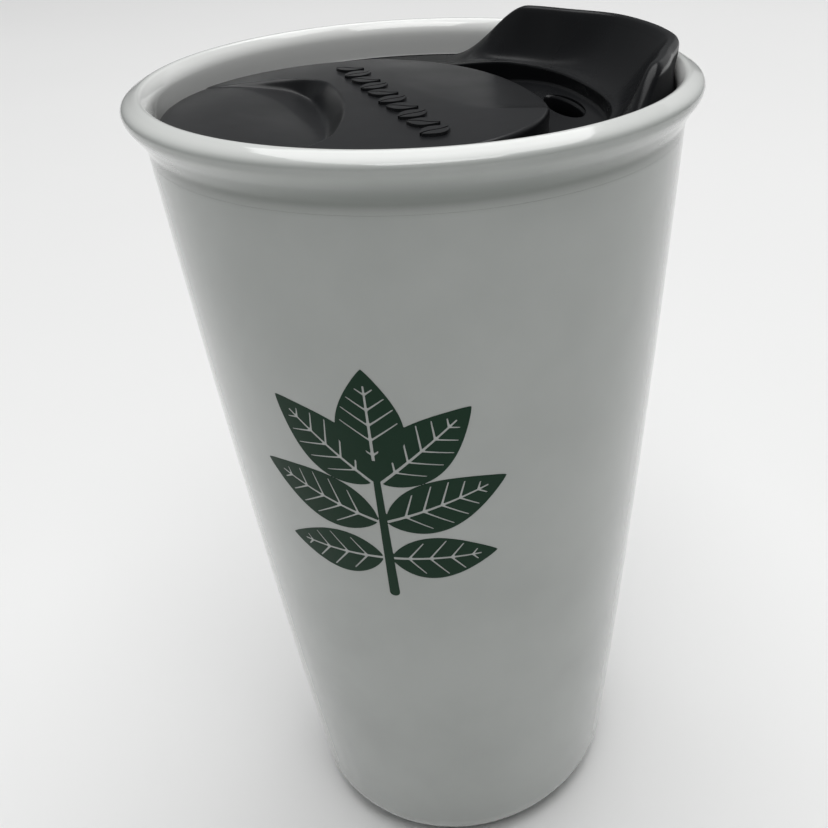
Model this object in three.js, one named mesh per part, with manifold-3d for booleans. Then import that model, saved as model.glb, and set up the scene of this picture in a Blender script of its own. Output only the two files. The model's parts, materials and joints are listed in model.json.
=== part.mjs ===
// Double-wall ceramic travel tumbler with a press-in plastic lid and a sliding drink closure.
//
// Units are millimetres and +Z is up. The origin is the centre of the foot, on the table.
// +X points from the mug's axis to the mouthpiece, and the lid is symmetric about the XZ plane.
// "Front" is +X and "rear" is -X. At rest the slider is open, towards -X; it travels along +X
// to close the drink hole.
import * as THREE from 'three';
import { mergeVertices } from 'three/addons/utils/BufferGeometryUtils.js';
import Module from 'manifold-3d';

const { degToRad, lerp, smoothstep } = THREE.MathUtils;

// ---------------------------------------------------------------- mug dimensions
const HEIGHT = 150;              // foot to the crest of the rim
const TAPER_R = 44.53;           // the taper's radius where it would reach TAPER_Z
const TAPER_Z = 152.72;
const NECK_Z = 141;              // joint between the shell and the liner, under the rim
const FOOT_WALL_R = 31.33;       // tapered wall where the base rounding starts
const BASE_ROUND = 7.9;          // radius of the rounding between wall and foot
const BELLY = 0.71;              // outward bow of the tapered wall, half way up
const FOOT_OUT_R = 23.4;         // standing ring
const FOOT_IN_R = 18.6;
const FOOT_RECESS = 1.8;
const FOOT_T = 2.8;              // thickness of the shell's floor
const FOOT_HOLE_R = 3;
const SHELL_T = 2.6;             // shell wall
const SHELL_T_TOP = 1.5;         // shell wall around the liner's spigot
const SPIGOT_Z = 118;            // the liner is held in the shell from here up
const SPIGOT_MID_Z = 131;        // station half way up the spigot
const AIR_GAP = 2.8;
const LINER_T = 2.2;
const CAVITY_FLOOR_Z = 11.2;
const FIT = 0.3;                 // clearance between separate pieces
const MOUTH_R = 42;              // ceramic wall beside the lid
const SEAT_TOP_R = 40.5;         // conical seat for the lid's plug
const SEAT_TOP_Z = 140.5;
const SEAT_BOT_R = 38.6;
const SEAT_BOT_Z = 125.5;

// ---------------------------------------------------------------- lid dimensions
const DECK_Z = 143.1;            // lid deck
const LEDGE_Z = 144;             // edge of the drinking well
const LEDGE_R = 32.7;            // where the mouthpiece's inner face starts to rise
const LID_R = 41.7;              // lid edge
const LID_SPOUT_Z = 153.5;       // crest of the mouthpiece
const SPOUT_FULL = 42;           // half angle of the full height, degrees
const SPOUT_END = 66;            // half angle where it meets the deck
const SPOUT_EDGE = 0.8;          // drop from the crest to its outer edge
const SOFT_RISE = 4;             // below this rise the crest's edges shrink with it
const FLOOR_Z = 139;             // floor of the slider's track
const FLOOR_T = 2.2;
const RAMP_X = 18;               // the track's floor rises in front of here
const RAMP_RISE = 2.6;
const TRACK_A = 29.9;            // front wall of the well, on the plane of symmetry
const TRACK_W = 31.6;            // half the track's width
const TRACK_REAR = 28.3;         // reach of the track's rounded rear, from the resting centre
const SQUARE = 2.4;              // how square the rounded fronts are; 2 would be an ellipse
const SKIRT_BOT_Z = 123.5;
const SKIRT_T = 2;
const SKIRT_GAP = 0.9;           // between the skirt and the mug's seat
const SKIRT_IN_Z = 134.5;        // top of the skirt's inner face
const GROOVE_Z0 = 127.7;         // gasket groove
const GROOVE_Z1 = 134.3;
const GROOVE_D = 1.4;
const SIP_X = 25.6;              // drink hole
const SIP_A = 2.2;               // half its size along X
const SIP_B = 7.5;               // and along Y
const VENT_X = 4;
const VENT_R = 1.1;

// ---------------------------------------------------------------- slider dimensions
const TRAVEL = 10.2;             // slider stroke along +X
const REST_X = -TRAVEL;          // centre of the slider's outline at rest
const SLIDER_A = 29.5;           // reach of the slider's rounded front
const SLIDER_W = 31.2;           // half its width
const SLIDER_REAR = 31.35;       // reach of its rounded rear, above the deck
const LOWER_REAR = TRACK_REAR - 0.4; // reach of its rounded rear, inside the track
const SLIDER_TOP_Z = 145.5;
const SLIDER_T = 1.8;
const FLOOR_GAP = 0.35;          // between the slider and the track's floor
const SLIDER_BOT_Z = FLOOR_Z + FLOOR_GAP;
const BOSS_TOP_Z = SLIDER_TOP_Z - 1; // tops of the inner parts, sunk into the plate
const VENT_BOSS_Z = 141.6;       // underside of the boss above the vent seal
const CREASE_X = -25.6;          // axis of the conical front facet
const CREASE_R = 31.6;
const FACET_R = 80;              // the facet's cutter runs out to here
const FRONT_Z = 144.3;           // top of the slider at its front edge
const SCOOP_X = -13;             // thumb scoop: front edge, half width, corner radius
const SCOOP_Y = 21;
const SCOOP_CORNER = 6;
// thumb scoop floor, rear to front: x, z
const SCOOP_FLOOR = [
  [-70, 145.4], [-41.5, 145.4], [-31.5, 145.1], [-26, 144.3],
  [-20, 142.9], [-16, 141.5], [0, 141.5],
];
const LEG_X = 2;                 // the slider's two legs, at +Y and -Y
const LEG_Y = 14;
const LEG_LX = 4;
const LEG_LY = 3;
const BOSS_WALL = 2;             // boss round each leg
const CLIP_Z0 = 133.9;
const CLIP_Z1 = 136.5;
const CLIP_HALF_X = 6;
const CLIP_MARGIN_Y = 5;         // clip beyond the legs' centres
const CLIP_CORNER = 3;
const SEAL_X0 = 12;              // rear edge of the drink hole's seal
const SEAL_INSET = 1.3;          // behind the slider's front edge
const SEAL_HALF = 8.9;
const SEAL_CORNER = 2;
const SEAL_T = 1.4;

const SEG = 48;                  // segments round the mug
const LID_SEG = 72;              // segments round the lid
const CUT_BOT_Z = 120;           // cutters run between these, past the parts they cut
const CUT_TOP_Z = 170;

const GLAZE = { color: 0xd9dcda, roughness: 0.15 };
const FOOT_PLUG = { color: 0xb9bcba, roughness: 0.8 };
const LID_PLASTIC = { color: 0x232426, roughness: 0.45 };
const SLIDER_PLASTIC = { color: 0x232426, roughness: 0.5 };
const SILICONE = { color: 0x34363a, roughness: 0.8 };

// ---------------------------------------------------------------- solids
const wasm = await Module();
wasm.setup();

// a closed three.js geometry as a solid, with shared corners merged and empty triangles dropped
function solid(geometry) {
  const loose = geometry.index ? geometry.toNonIndexed() : geometry;
  loose.deleteAttribute('normal');
  loose.deleteAttribute('uv');
  const merged = mergeVertices(loose, 1e-4);
  const points = new Float32Array(merged.attributes.position.array);
  const corner = (i) => new THREE.Vector3().fromArray(points, i * 3);
  const index = merged.index.array;
  const kept = [];
  let volume = 0;
  for (let i = 0; i < index.length; i += 3) {
    const [a, b, c] = index.slice(i, i + 3);
    if (a === b || b === c || a === c) continue;
    kept.push(a, b, c);
    volume += corner(a).dot(corner(b).cross(corner(c)));
  }
  const triVerts = new Uint32Array(kept);
  // a negative volume means the faces point inwards
  if (volume < 0) {
    for (let i = 0; i < triVerts.length; i += 3) {
      [triVerts[i + 1], triVerts[i + 2]] = [triVerts[i + 2], triVerts[i + 1]];
    }
  }
  return new wasm.Manifold(new wasm.Mesh({ numProp: 3, vertProperties: points, triVerts }));
}

function geometryOf(manifold) {
  const mesh = manifold.getMesh();
  const geometry = new THREE.BufferGeometry();
  const points = new Float32Array(mesh.vertProperties);
  geometry.setAttribute('position', new THREE.BufferAttribute(points, 3));
  geometry.setIndex(new THREE.BufferAttribute(new Uint32Array(mesh.triVerts), 1));
  geometry.computeVertexNormals();
  return geometry;
}

const vectors = (pairs) => pairs.map(([x, y]) => new THREE.Vector2(x, y));

// a profile of [radius, height] pairs turned about a vertical axis at x
function turnedSolid(profile, segments, x = 0) {
  const geometry = new THREE.LatheGeometry(vectors(profile), segments);
  geometry.rotateX(Math.PI / 2);
  geometry.translate(x, 0, 0);
  return solid(geometry);
}

function extruded(outline, depth) {
  const settings = { depth, bevelEnabled: false, steps: 1 };
  return new THREE.ExtrudeGeometry(new THREE.Shape(vectors(outline)), settings);
}

// a flat outline of [x, y] pairs raised from z0 to z1
const raised = (outline, z0, z1) => solid(extruded(outline, z1 - z0).translate(0, 0, z0));

// a prism along Y, centred on the XZ plane, from an outline of [x, z] pairs
function prismY(outline, halfWidth = 60) {
  const geometry = extruded(outline, 2 * halfWidth);
  geometry.rotateX(Math.PI / 2);
  geometry.translate(0, halfWidth, 0);
  return solid(geometry);
}

function block(x0, x1, y0, y1, z0, z1) {
  const geometry = new THREE.BoxGeometry(x1 - x0, y1 - y0, z1 - z0);
  geometry.translate((x0 + x1) / 2, (y0 + y1) / 2, (z0 + z1) / 2);
  return solid(geometry);
}

// an upright round or oval rod on the XZ plane
function rod(x, radiusX, radiusY, z0, z1, segments) {
  const geometry = new THREE.CylinderGeometry(1, 1, z1 - z0, segments, 1, false);
  geometry.rotateX(Math.PI / 2);
  geometry.scale(radiusX, radiusY, 1);
  geometry.translate(x, 0, (z0 + z1) / 2);
  return solid(geometry);
}

const unite = (...list) => list.reduce((sum, part) => sum.add(part));

// points on an arc between two angles in degrees
const arc = (centreX, centreY, radius, from, to, count) =>
  Array.from({ length: count + 1 }, (_, i) => {
    const angle = degToRad(from + (to - from) * i / count);
    return [centreX + radius * Math.cos(angle), centreY + radius * Math.sin(angle)];
  });

// evenly spaced values after `from`, up to and including `to`
const steps = (from, to, count) =>
  Array.from({ length: count }, (_, i) => from + (to - from) * (i + 1) / count);

// ---------------------------------------------------------------- mug
const SHELL_TOP_Z = NECK_Z - FIT;
const SPIGOT_IN = SHELL_T_TOP + FIT;             // outer wall to the spigot
const LINE_OUT = SHELL_T + AIR_GAP;              // outer wall to the liner's outer face
const LINE_IN = LINE_OUT + LINER_T;              // outer wall to the drink

// radius of the mug's outer wall
function wallR(z) {
  const t = (TAPER_Z - z) / (TAPER_Z - BASE_ROUND);
  return TAPER_R + (FOOT_WALL_R - TAPER_R) * t + BELLY * 4 * t * (1 - t);
}
// profile points at a distance inside the outer wall
const inside = (inset, ...heights) => heights.map((z) => [wallR(z) - inset, z]);

// the tapered outer wall, its floor and its standing ring
function outerShell() {
  const floorTop = FOOT_RECESS + FOOT_T;
  return turnedSolid([
    [FOOT_HOLE_R, FOOT_RECESS],
    [FOOT_IN_R - 0.6, FOOT_RECESS],
    [FOOT_IN_R, 0],
    ...arc(FOOT_OUT_R, BASE_ROUND, BASE_ROUND, -90, 0, 5),
    ...inside(0, ...steps(BASE_ROUND, SHELL_TOP_Z, 5)),
    ...inside(SHELL_T_TOP, SHELL_TOP_Z, SPIGOT_MID_Z, SPIGOT_Z),
    ...inside(SHELL_T, 112, 80, 46, 18),
    [wallR(12) - SHELL_T - 0.5, 11.6],
    [27.3, 6.8],
    [23.6, floorTop + 0.3],
    [19.5, floorTop],
    [FOOT_HOLE_R, floorTop],
    [FOOT_HOLE_R, FOOT_RECESS],
  ], SEG);
}

// rolled rim, swelling out of the wall and turning over its crest into the mouth: radius, z
const RIM = [
  [43.85, 142.6], [44.2, 143.5], [45.0, 145], [45.75, 146], [46.35, 147],
  [46.65, 148], [46.5, 148.5], [45.9, 149], [44.95, 149.5], [43.95, HEIGHT],
  [43.1, 149.35], [42.3, 148.3], [MOUTH_R, 146.8],
];

// the inner cup, with its spigot, the rim and the lid's seat
function innerLiner() {
  return turnedSolid([
    // outer face, upwards
    [0, CAVITY_FLOOR_Z - 2.6],
    [17.5, CAVITY_FLOOR_Z - 2.6],
    [21.6, CAVITY_FLOOR_Z - 1.2],
    [25.2, CAVITY_FLOOR_Z + 2.2],
    ...inside(LINE_OUT, 20, 48, 80, 108),
    [wallR(114) - SHELL_T_TOP - 2.2, 113.5],
    [wallR(SPIGOT_Z) - SPIGOT_IN, SPIGOT_Z - 1],
    ...inside(SPIGOT_IN, SPIGOT_MID_Z, SHELL_TOP_Z),
    [wallR(SHELL_TOP_Z) - SPIGOT_IN, NECK_Z],
    [wallR(NECK_Z), NECK_Z],
    ...RIM,
    // inner face, downwards
    [MOUTH_R, DECK_Z],
    [SEAT_TOP_R + 0.1, SEAT_TOP_Z + 0.2],
    [SEAT_TOP_R, SEAT_TOP_Z],
    [SEAT_BOT_R, SEAT_BOT_Z],
    [SEAT_BOT_R - 0.7, 122],
    [37.0, 118.1],
    [wallR(113) - LINE_IN + 0.5, 113],
    ...inside(LINE_IN, 104, 76, 48, 26),
    [wallR(18) - LINE_IN - 1.2, 17.5],
    [20.6, CAVITY_FLOOR_Z + 2.2],
    [16.4, CAVITY_FLOOR_Z],
    [0, CAVITY_FLOOR_Z],
  ], SEG);
}

// plug in the hole in the foot, with a head on each side of the shell's floor
function footPlug() {
  const stemR = FOOT_HOLE_R - FIT;
  const headZ = FOOT_RECESS - FIT;
  const floorTop = FOOT_RECESS + FOOT_T;
  return turnedSolid([
    [0, 0.6], [4.6, 0.6], [5.0, 0.9], [5.0, headZ],
    [stemR, headZ], [stemR, floorTop + FIT],
    [FOOT_HOLE_R + 0.9, floorTop + FIT], [FOOT_HOLE_R + 0.4, floorTop + 1.3],
    [0, floorTop + 1.6],
  ], 24);
}

// ---------------------------------------------------------------- lid body
const SEAT_SLOPE = (SEAT_TOP_R - SEAT_BOT_R) / (SEAT_TOP_Z - SEAT_BOT_Z);
const seatR = (z) => SEAT_BOT_R + SEAT_SLOPE * (z - SEAT_BOT_Z);
const skirtR = (z) => seatR(z) - SKIRT_GAP;

// outer face of the mouthpiece: z, radius
// in the middle it flares over the rolled rim, and towards its ends it draws in
const FACE_MIDDLE = [
  [139.5, 41.65], [147.5, 41.65], [148.3, 41.9], [149, 42.3],
  [150, 42.9], [151, 43.3], [152, 43.5], [155, 43.6],
];
const FACE_END = [
  [139.5, 41.65], [146, 41.65], [148, 41.5], [150, 41.3], [152, 41.2], [155, 41.1],
];
const FACE_BLEND = [12, 32];     // half angles where one face turns into the other, degrees
// inner face of the mouthpiece, from the well's edge to its crest: fraction of reach, of rise
const SPOUT_RAMP = [
  [0, 0], [0.17, 0.06], [0.34, 0.17], [0.51, 0.33],
  [0.68, 0.53], [0.83, 0.73], [0.94, 0.90], [1, 0.98],
];
// stations down the outer face, as fractions of its height
const FACE_STATIONS = [0, 0.12, 0.26, 0.42, 0.6, 0.8];

// radius at height z, interpolated in a table of [z, radius]
function along(table, z) {
  const i = Math.max(1, table.findIndex(([height]) => height >= z));
  const [[z0, r0], [z1, r1]] = [table[i - 1], table[i]];
  return r0 + (r1 - r0) * (z - z0) / (z1 - z0);
}

// the lid's [radius, z] section at an angle from +X, 0 to 360 degrees
function lidSection(degrees) {
  const offFront = Math.min(degrees, 360 - degrees);
  const blend = smoothstep(offFront, ...FACE_BLEND);
  const faceR = (z) => along(FACE_MIDDLE, z) * (1 - blend) + along(FACE_END, z) * blend;
  const weight = 1 - smoothstep(offFront, SPOUT_FULL, SPOUT_END);
  const base = DECK_Z + (LEDGE_Z - DECK_Z) * weight;
  const rise = (LID_SPOUT_Z - LEDGE_Z) * weight;
  const top = base + rise;
  const soft = Math.min(1, rise / SOFT_RISE);
  const edge = SPOUT_EDGE * soft;
  const edgeR = faceR(top - edge);
  const reach = edgeR - 0.6 - 1.3 * soft - LEDGE_R;
  const skirtInR = skirtR(SKIRT_IN_Z) - SKIRT_T - GROOVE_D;
  return [
    // deck and mouthpiece
    [0, base],
    [20, base],
    ...SPOUT_RAMP.map(([out, up]) => [LEDGE_R + reach * out, base + rise * up]),
    [edgeR - 0.25 - 0.65 * soft, top],
    ...FACE_STATIONS.map((part) => {
      const z = lerp(top - edge - 0.12, DECK_Z - 0.15, part);
      return [faceR(z), z];
    }),
    // lid edge, then the skirt's outer face with its groove
    [LID_R, DECK_Z - 0.35],
    [LID_R - 1.45, SEAT_TOP_Z - 0.15],
    [skirtR(139.1), 139.1],
    [skirtR(GROOVE_Z1), GROOVE_Z1],
    [skirtR(GROOVE_Z1) - GROOVE_D, GROOVE_Z1],
    [skirtR(GROOVE_Z0) - GROOVE_D, GROOVE_Z0],
    [skirtR(GROOVE_Z0), GROOVE_Z0],
    [skirtR(SKIRT_BOT_Z + 1), SKIRT_BOT_Z + 1],
    // the skirt's lower edge, its inner face and the underside of the floor
    [skirtR(SKIRT_BOT_Z) - 0.6, SKIRT_BOT_Z],
    [skirtR(SKIRT_BOT_Z) - SKIRT_T - GROOVE_D + 0.4, SKIRT_BOT_Z],
    [skirtInR, SKIRT_IN_Z],
    [skirtInR - 1.5, FLOOR_Z - FLOOR_T],
    [0, FLOOR_Z - FLOOR_T],
  ];
}

// a turned solid with its own section at each angle; the lathe only supplies the triangles
function variableTurned(section, segments) {
  const first = section(0);
  const geometry = new THREE.LatheGeometry(vectors(first), segments);
  const position = geometry.attributes.position;
  for (let i = 0; i <= segments; i++) {
    const degrees = 360 * (i % segments) / segments;
    const angle = degToRad(degrees);
    section(degrees).forEach(([r, z], j) => {
      position.setXYZ(i * first.length + j, r * Math.cos(angle), r * Math.sin(angle), z);
    });
  }
  return solid(geometry);
}

// rounded front of the track and the slider, from -Y to +Y
const roundedFront = (centreX, reach, halfWidth, count = 36) =>
  Array.from({ length: count + 1 }, (_, i) => {
    const angle = degToRad(-90 + 180 * i / count);
    // rounding can bring the cosine just below zero at the ends
    const cos = Math.max(Math.cos(angle), 0);
    const sin = Math.abs(Math.sin(angle));
    const r = ((cos / reach) ** SQUARE + (sin / halfWidth) ** SQUARE) ** (-1 / SQUARE);
    return [centreX + r * Math.cos(angle), r * Math.sin(angle)];
  });
// rounded rear of both, from +Y to -Y about the slider's resting centre
const roundedRear = (reach, halfWidth, count = 24) =>
  Array.from({ length: count + 1 }, (_, i) => {
    const angle = Math.PI / 2 + Math.PI * i / count;
    return [REST_X + reach * Math.cos(angle), halfWidth * Math.sin(angle)];
  });

const RAMP_SLOPE = RAMP_RISE / (TRACK_W - RAMP_X);
const rampZ = (x) => FLOOR_Z + Math.max(0, x - RAMP_X) * RAMP_SLOPE;

// a pair of blocks, each a leg's footprint grown on all sides and stretched towards +X
const legBlocks = (growX, growY, z0, z1, stretch = 0) => [1, -1].map((side) => block(
  LEG_X - LEG_LX / 2 - growX, LEG_X + LEG_LX / 2 + stretch + growX,
  side * LEG_Y - LEG_LY / 2 - growY, side * LEG_Y + LEG_LY / 2 + growY, z0, z1,
));

// deck, mouthpiece and skirt, with the track, the drink hole, the vent and the leg slots cut
function lidBody() {
  const ramp = prismY([
    [RAMP_X, FLOOR_Z - 1], [40, FLOOR_Z - 1], [40, rampZ(40)], [RAMP_X, FLOOR_Z],
  ], 50);
  const trackOutline = [
    ...roundedFront(0, TRACK_A, TRACK_W),
    ...roundedRear(TRACK_REAR, TRACK_W),
  ];
  return variableTurned(lidSection, LID_SEG).subtract(unite(
    raised(trackOutline, FLOOR_Z, CUT_TOP_Z).subtract(ramp),
    rod(SIP_X, SIP_A, SIP_B, CUT_BOT_Z, CUT_TOP_Z, 28),
    rod(VENT_X, VENT_R, VENT_R, CUT_BOT_Z, CUT_TOP_Z, 20),
    ...legBlocks(FIT + 0.2, FIT, CUT_BOT_Z, CUT_TOP_Z, TRAVEL),
  ));
}

// ring in the skirt's groove, with two fins that reach towards the mug's seat
function lidGasket() {
  const middleZ = (GROOVE_Z0 + GROOVE_Z1) / 2;
  const innerR = (z) => skirtR(z) - GROOVE_D + FIT;
  const outerR = (z) => skirtR(z) - 0.1;
  const fin = (z) => [
    [outerR(z), z - 0.95],
    [seatR(z) - FIT, z + 0.15],
    [seatR(z) - FIT, z + 0.55],
    [outerR(z), z + 0.55],
  ];
  return turnedSolid([
    [innerR(GROOVE_Z0), GROOVE_Z0 + FIT],
    [outerR(GROOVE_Z0), GROOVE_Z0 + FIT],
    ...fin(middleZ - 1.7),
    ...fin(middleZ + 1.7),
    [outerR(GROOVE_Z1), GROOVE_Z1 - FIT],
    [innerR(GROOVE_Z1), GROOVE_Z1 - FIT],
    [innerR(GROOVE_Z0), GROOVE_Z0 + FIT],
  ], SEG);
}

// ---------------------------------------------------------------- slider
const sliderOutline = (inset, rearReach) => [
  ...roundedFront(REST_X, SLIDER_A - inset, SLIDER_W - inset),
  ...roundedRear(rearReach - inset, SLIDER_W - inset).slice(1, -1),
];

// an [x, z] point above the track's floor as the closed slider meets it, in the resting frame
const overFloor = (x, lift) => [x, rampZ(x + TRAVEL) + lift];
const FOOT_OF_RAMP = RAMP_X - TRAVEL;

// D-shaped outline of the thumb scoop, running out past the slider's rear
function scoopOutline(grow) {
  const frontX = SCOOP_X + grow;
  const halfWidth = SCOOP_Y + grow;
  const corner = SCOOP_CORNER + grow;
  return [
    [-60, -halfWidth],
    ...arc(frontX - corner, -halfWidth + corner, corner, -90, 0, 6),
    ...arc(frontX - corner, halfWidth - corner, corner, 0, 90, 6),
    [-60, halfWidth],
  ];
}
const aboveScoopFloor = (lift) => prismY([
  ...SCOOP_FLOOR.map(([x, z]) => [x, z + lift]), [0, CUT_TOP_Z], [-70, CUT_TOP_Z],
]);

function sealOutline(grow) {
  const half = SEAL_HALF + grow;
  const cornerX = SEAL_X0 - grow + SEAL_CORNER;
  const cornerY = half - SEAL_CORNER;
  const inset = SEAL_INSET - grow;
  return [
    ...roundedFront(REST_X, SLIDER_A - inset, SLIDER_W - inset, 144)
      .filter(([, y]) => Math.abs(y) < half),
    ...arc(cornerX, cornerY, SEAL_CORNER, 90, 180, 4),
    ...arc(cornerX, -cornerY, SEAL_CORNER, 180, 270, 4),
  ];
}

// room for the drink hole's seal in the nose
function sealPocket() {
  const lift = FIT + SEAL_T + FIT;
  return raised(sealOutline(FIT), CUT_BOT_Z, CUT_TOP_Z).subtract(prismY([
    [-20, CUT_TOP_Z], [60, CUT_TOP_Z],
    overFloor(60, lift), overFloor(FOOT_OF_RAMP, lift), overFloor(-20, lift),
  ]));
}

// cone that bevels the top towards the front edge
function frontFacet() {
  const run = SLIDER_A + REST_X - CREASE_X - CREASE_R;
  const drop = (FACET_R - CREASE_R) * (SLIDER_TOP_Z - FRONT_Z) / run;
  return turnedSolid([
    [CREASE_R, SLIDER_TOP_Z],
    [FACET_R, SLIDER_TOP_Z - drop],
    [FACET_R, CUT_TOP_Z],
    [CREASE_R, CUT_TOP_Z],
    [CREASE_R, SLIDER_TOP_Z],
  ], 128, CREASE_X);
}

// what the slider must clear below it when it runs up the ramp, except at its legs
function underClearance() {
  return prismY([
    [-60, CUT_BOT_Z], [40, CUT_BOT_Z],
    overFloor(40, FLOOR_GAP), overFloor(FOOT_OF_RAMP, FLOOR_GAP), overFloor(-60, FLOOR_GAP),
  ]).subtract(unite(...legBlocks(0.01, 0.01, CUT_BOT_Z - 1, CUT_TOP_Z)));
}

// hollow cover with the thumb scoop, the nose over the drink hole, the vent boss and two legs
function sliderCover() {
  const plate = raised(sliderOutline(0, SLIDER_REAR), DECK_Z + FIT, SLIDER_TOP_Z);
  const lower = raised(sliderOutline(0, LOWER_REAR), SLIDER_BOT_Z, DECK_Z + FIT + 0.1);
  const hollow = raised(sliderOutline(SLIDER_T, LOWER_REAR),
    FLOOR_Z - 1, SLIDER_TOP_Z - SLIDER_T - 0.5);
  const scoopShell = raised(scoopOutline(1.8), SLIDER_BOT_Z, SLIDER_TOP_Z - 0.5)
    .intersect(aboveScoopFloor(-1.7))
    .intersect(raised(sliderOutline(0, LOWER_REAR), FLOOR_Z, SLIDER_TOP_Z - 0.5));
  const scoopCut = raised(scoopOutline(0), CUT_BOT_Z, CUT_TOP_Z).intersect(aboveScoopFloor(0));
  const nose = raised(sliderOutline(0.5, TRACK_REAR), SLIDER_BOT_Z, BOSS_TOP_Z)
    .intersect(block(9, 40, -11.5, 11.5, CUT_BOT_Z, CUT_TOP_Z));
  return unite(
    unite(plate, lower).subtract(hollow),
    scoopShell,
    nose,
    rod(VENT_X - TRAVEL, 4, 4, VENT_BOSS_Z, BOSS_TOP_Z, 20),
    ...legBlocks(BOSS_WALL, BOSS_WALL, SLIDER_BOT_Z, BOSS_TOP_Z),
    ...legBlocks(0, 0, CLIP_Z0 - 0.6, BOSS_TOP_Z),
  )
    .subtract(scoopCut)
    .subtract(frontFacet())
    .subtract(underClearance())
    .subtract(sealPocket());
}

// retainer under the track's floor, on the ends of the slider's two legs
function sliderClip() {
  const cornerX = CLIP_HALF_X - CLIP_CORNER;
  const cornerY = LEG_Y + CLIP_MARGIN_Y - CLIP_CORNER;
  const outline = [[1, 1], [-1, 1], [-1, -1], [1, -1]].flatMap(([signX, signY], i) => arc(
    LEG_X + signX * cornerX, signY * cornerY, CLIP_CORNER, 90 * i, 90 * (i + 1), 4,
  ));
  return raised(outline, CLIP_Z0, CLIP_Z1)
    .subtract(unite(...legBlocks(FIT, FIT, CUT_BOT_Z, CUT_TOP_Z)))
    .subtract(rod(LEG_X, 5, 7, CUT_BOT_Z, CUT_TOP_Z, 24));
}

// seal for the drink hole, following the ramp
function sipSeal() {
  return raised(sealOutline(0), CUT_BOT_Z, CUT_TOP_Z).intersect(prismY([
    overFloor(FOOT_OF_RAMP, FIT), overFloor(60, FIT),
    overFloor(60, FIT + SEAL_T), overFloor(FOOT_OF_RAMP, FIT + SEAL_T),
  ]));
}

// pad that covers the vent when the slider is closed
const ventSeal = () => rod(VENT_X - TRAVEL, 3, 3, FLOOR_Z + FIT, VENT_BOSS_Z - FIT, 24);

// ---------------------------------------------------------------- the object
function piece(name, manifold, finish) {
  const material = new THREE.MeshStandardMaterial({ ...finish, metalness: 0 });
  const mesh = new THREE.Mesh(geometryOf(manifold), material);
  mesh.name = name;
  return mesh;
}

function group(name, ...children) {
  const result = new THREE.Group();
  result.name = name;
  result.add(...children);
  return result;
}

const mug = group('mug',
  piece('outer_shell', outerShell(), GLAZE),
  piece('inner_liner', innerLiner(), GLAZE),
  piece('foot_plug', footPlug(), FOOT_PLUG));

const slider = group('slider',
  piece('slider_cover', sliderCover(), SLIDER_PLASTIC),
  piece('slider_clip', sliderClip(), SLIDER_PLASTIC),
  piece('sip_seal', sipSeal(), SILICONE),
  piece('vent_seal', ventSeal(), SILICONE));

const lid = group('lid',
  piece('lid_body', lidBody(), LID_PLASTIC),
  piece('lid_gasket', lidGasket(), SILICONE),
  slider);

export default group('travel_tumbler', mug, lid);
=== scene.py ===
"""Double-wall ceramic travel tumbler with a press-in lid and a sliding closure: the looks around the CAD frame."""
import json
import math

import bmesh
import bpy
import numpy as np
from mathutils import Matrix, Vector


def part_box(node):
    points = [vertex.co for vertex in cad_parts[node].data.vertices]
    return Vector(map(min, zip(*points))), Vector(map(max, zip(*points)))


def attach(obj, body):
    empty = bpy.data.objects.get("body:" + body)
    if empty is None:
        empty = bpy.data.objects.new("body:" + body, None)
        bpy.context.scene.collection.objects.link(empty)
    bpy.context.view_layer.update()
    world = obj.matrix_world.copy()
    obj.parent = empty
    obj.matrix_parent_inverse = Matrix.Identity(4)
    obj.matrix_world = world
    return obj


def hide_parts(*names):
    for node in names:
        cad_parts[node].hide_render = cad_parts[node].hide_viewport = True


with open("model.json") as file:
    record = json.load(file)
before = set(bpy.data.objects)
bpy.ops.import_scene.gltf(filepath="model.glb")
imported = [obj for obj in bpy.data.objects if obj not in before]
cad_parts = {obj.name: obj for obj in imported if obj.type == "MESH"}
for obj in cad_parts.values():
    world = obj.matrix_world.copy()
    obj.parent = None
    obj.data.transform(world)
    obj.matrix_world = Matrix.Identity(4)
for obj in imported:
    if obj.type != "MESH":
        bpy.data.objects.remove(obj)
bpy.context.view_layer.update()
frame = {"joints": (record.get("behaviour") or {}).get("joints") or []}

MM = 0.001
scene = bpy.context.scene


def node_mm(name):
    lo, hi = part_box(name)
    return [v / MM for v in lo], [v / MM for v in hi]


# ------------------------------------------------------------------ sizes, in mm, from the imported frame
(_, _, _), (RIM_R, _, HEIGHT) = node_mm("inner_liner")
LID_TOP = node_mm("lid_body")[1][2]
SKIRT_BOT = node_mm("lid_body")[0][2]
SLIDER_TOP = node_mm("slider_cover")[1][2]
CLIP_LO, CLIP_HI = node_mm("slider_clip")
TRAVEL = next(j for j in frame["joints"] if j["name"] == "closure_slide")["range_m"][1] / MM

TAPER_R, TAPER_Z, NECK_Z = 44.53, 152.72, 141.0
FOOT_WALL_R, BASE_ROUND, BELLY = 31.33, 7.9, 0.71
FOOT_OUT_R, FOOT_IN_R, FOOT_RECESS, FOOT_T = 23.4, 18.6, 1.8, 2.8
SHELL_T, SHELL_T_TOP, SPIGOT_Z = 2.6, 1.5, 118.0
AIR_GAP, LINER_T, CAVITY_FLOOR = 2.8, 2.2, 11.2
MOUTH_R = 42.0
SEAT_TOP_R, SEAT_TOP_Z, SEAT_BOT_R, SEAT_BOT_Z = 40.5, 140.5, 38.6, 125.5
PLUG_R = 3.0

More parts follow.
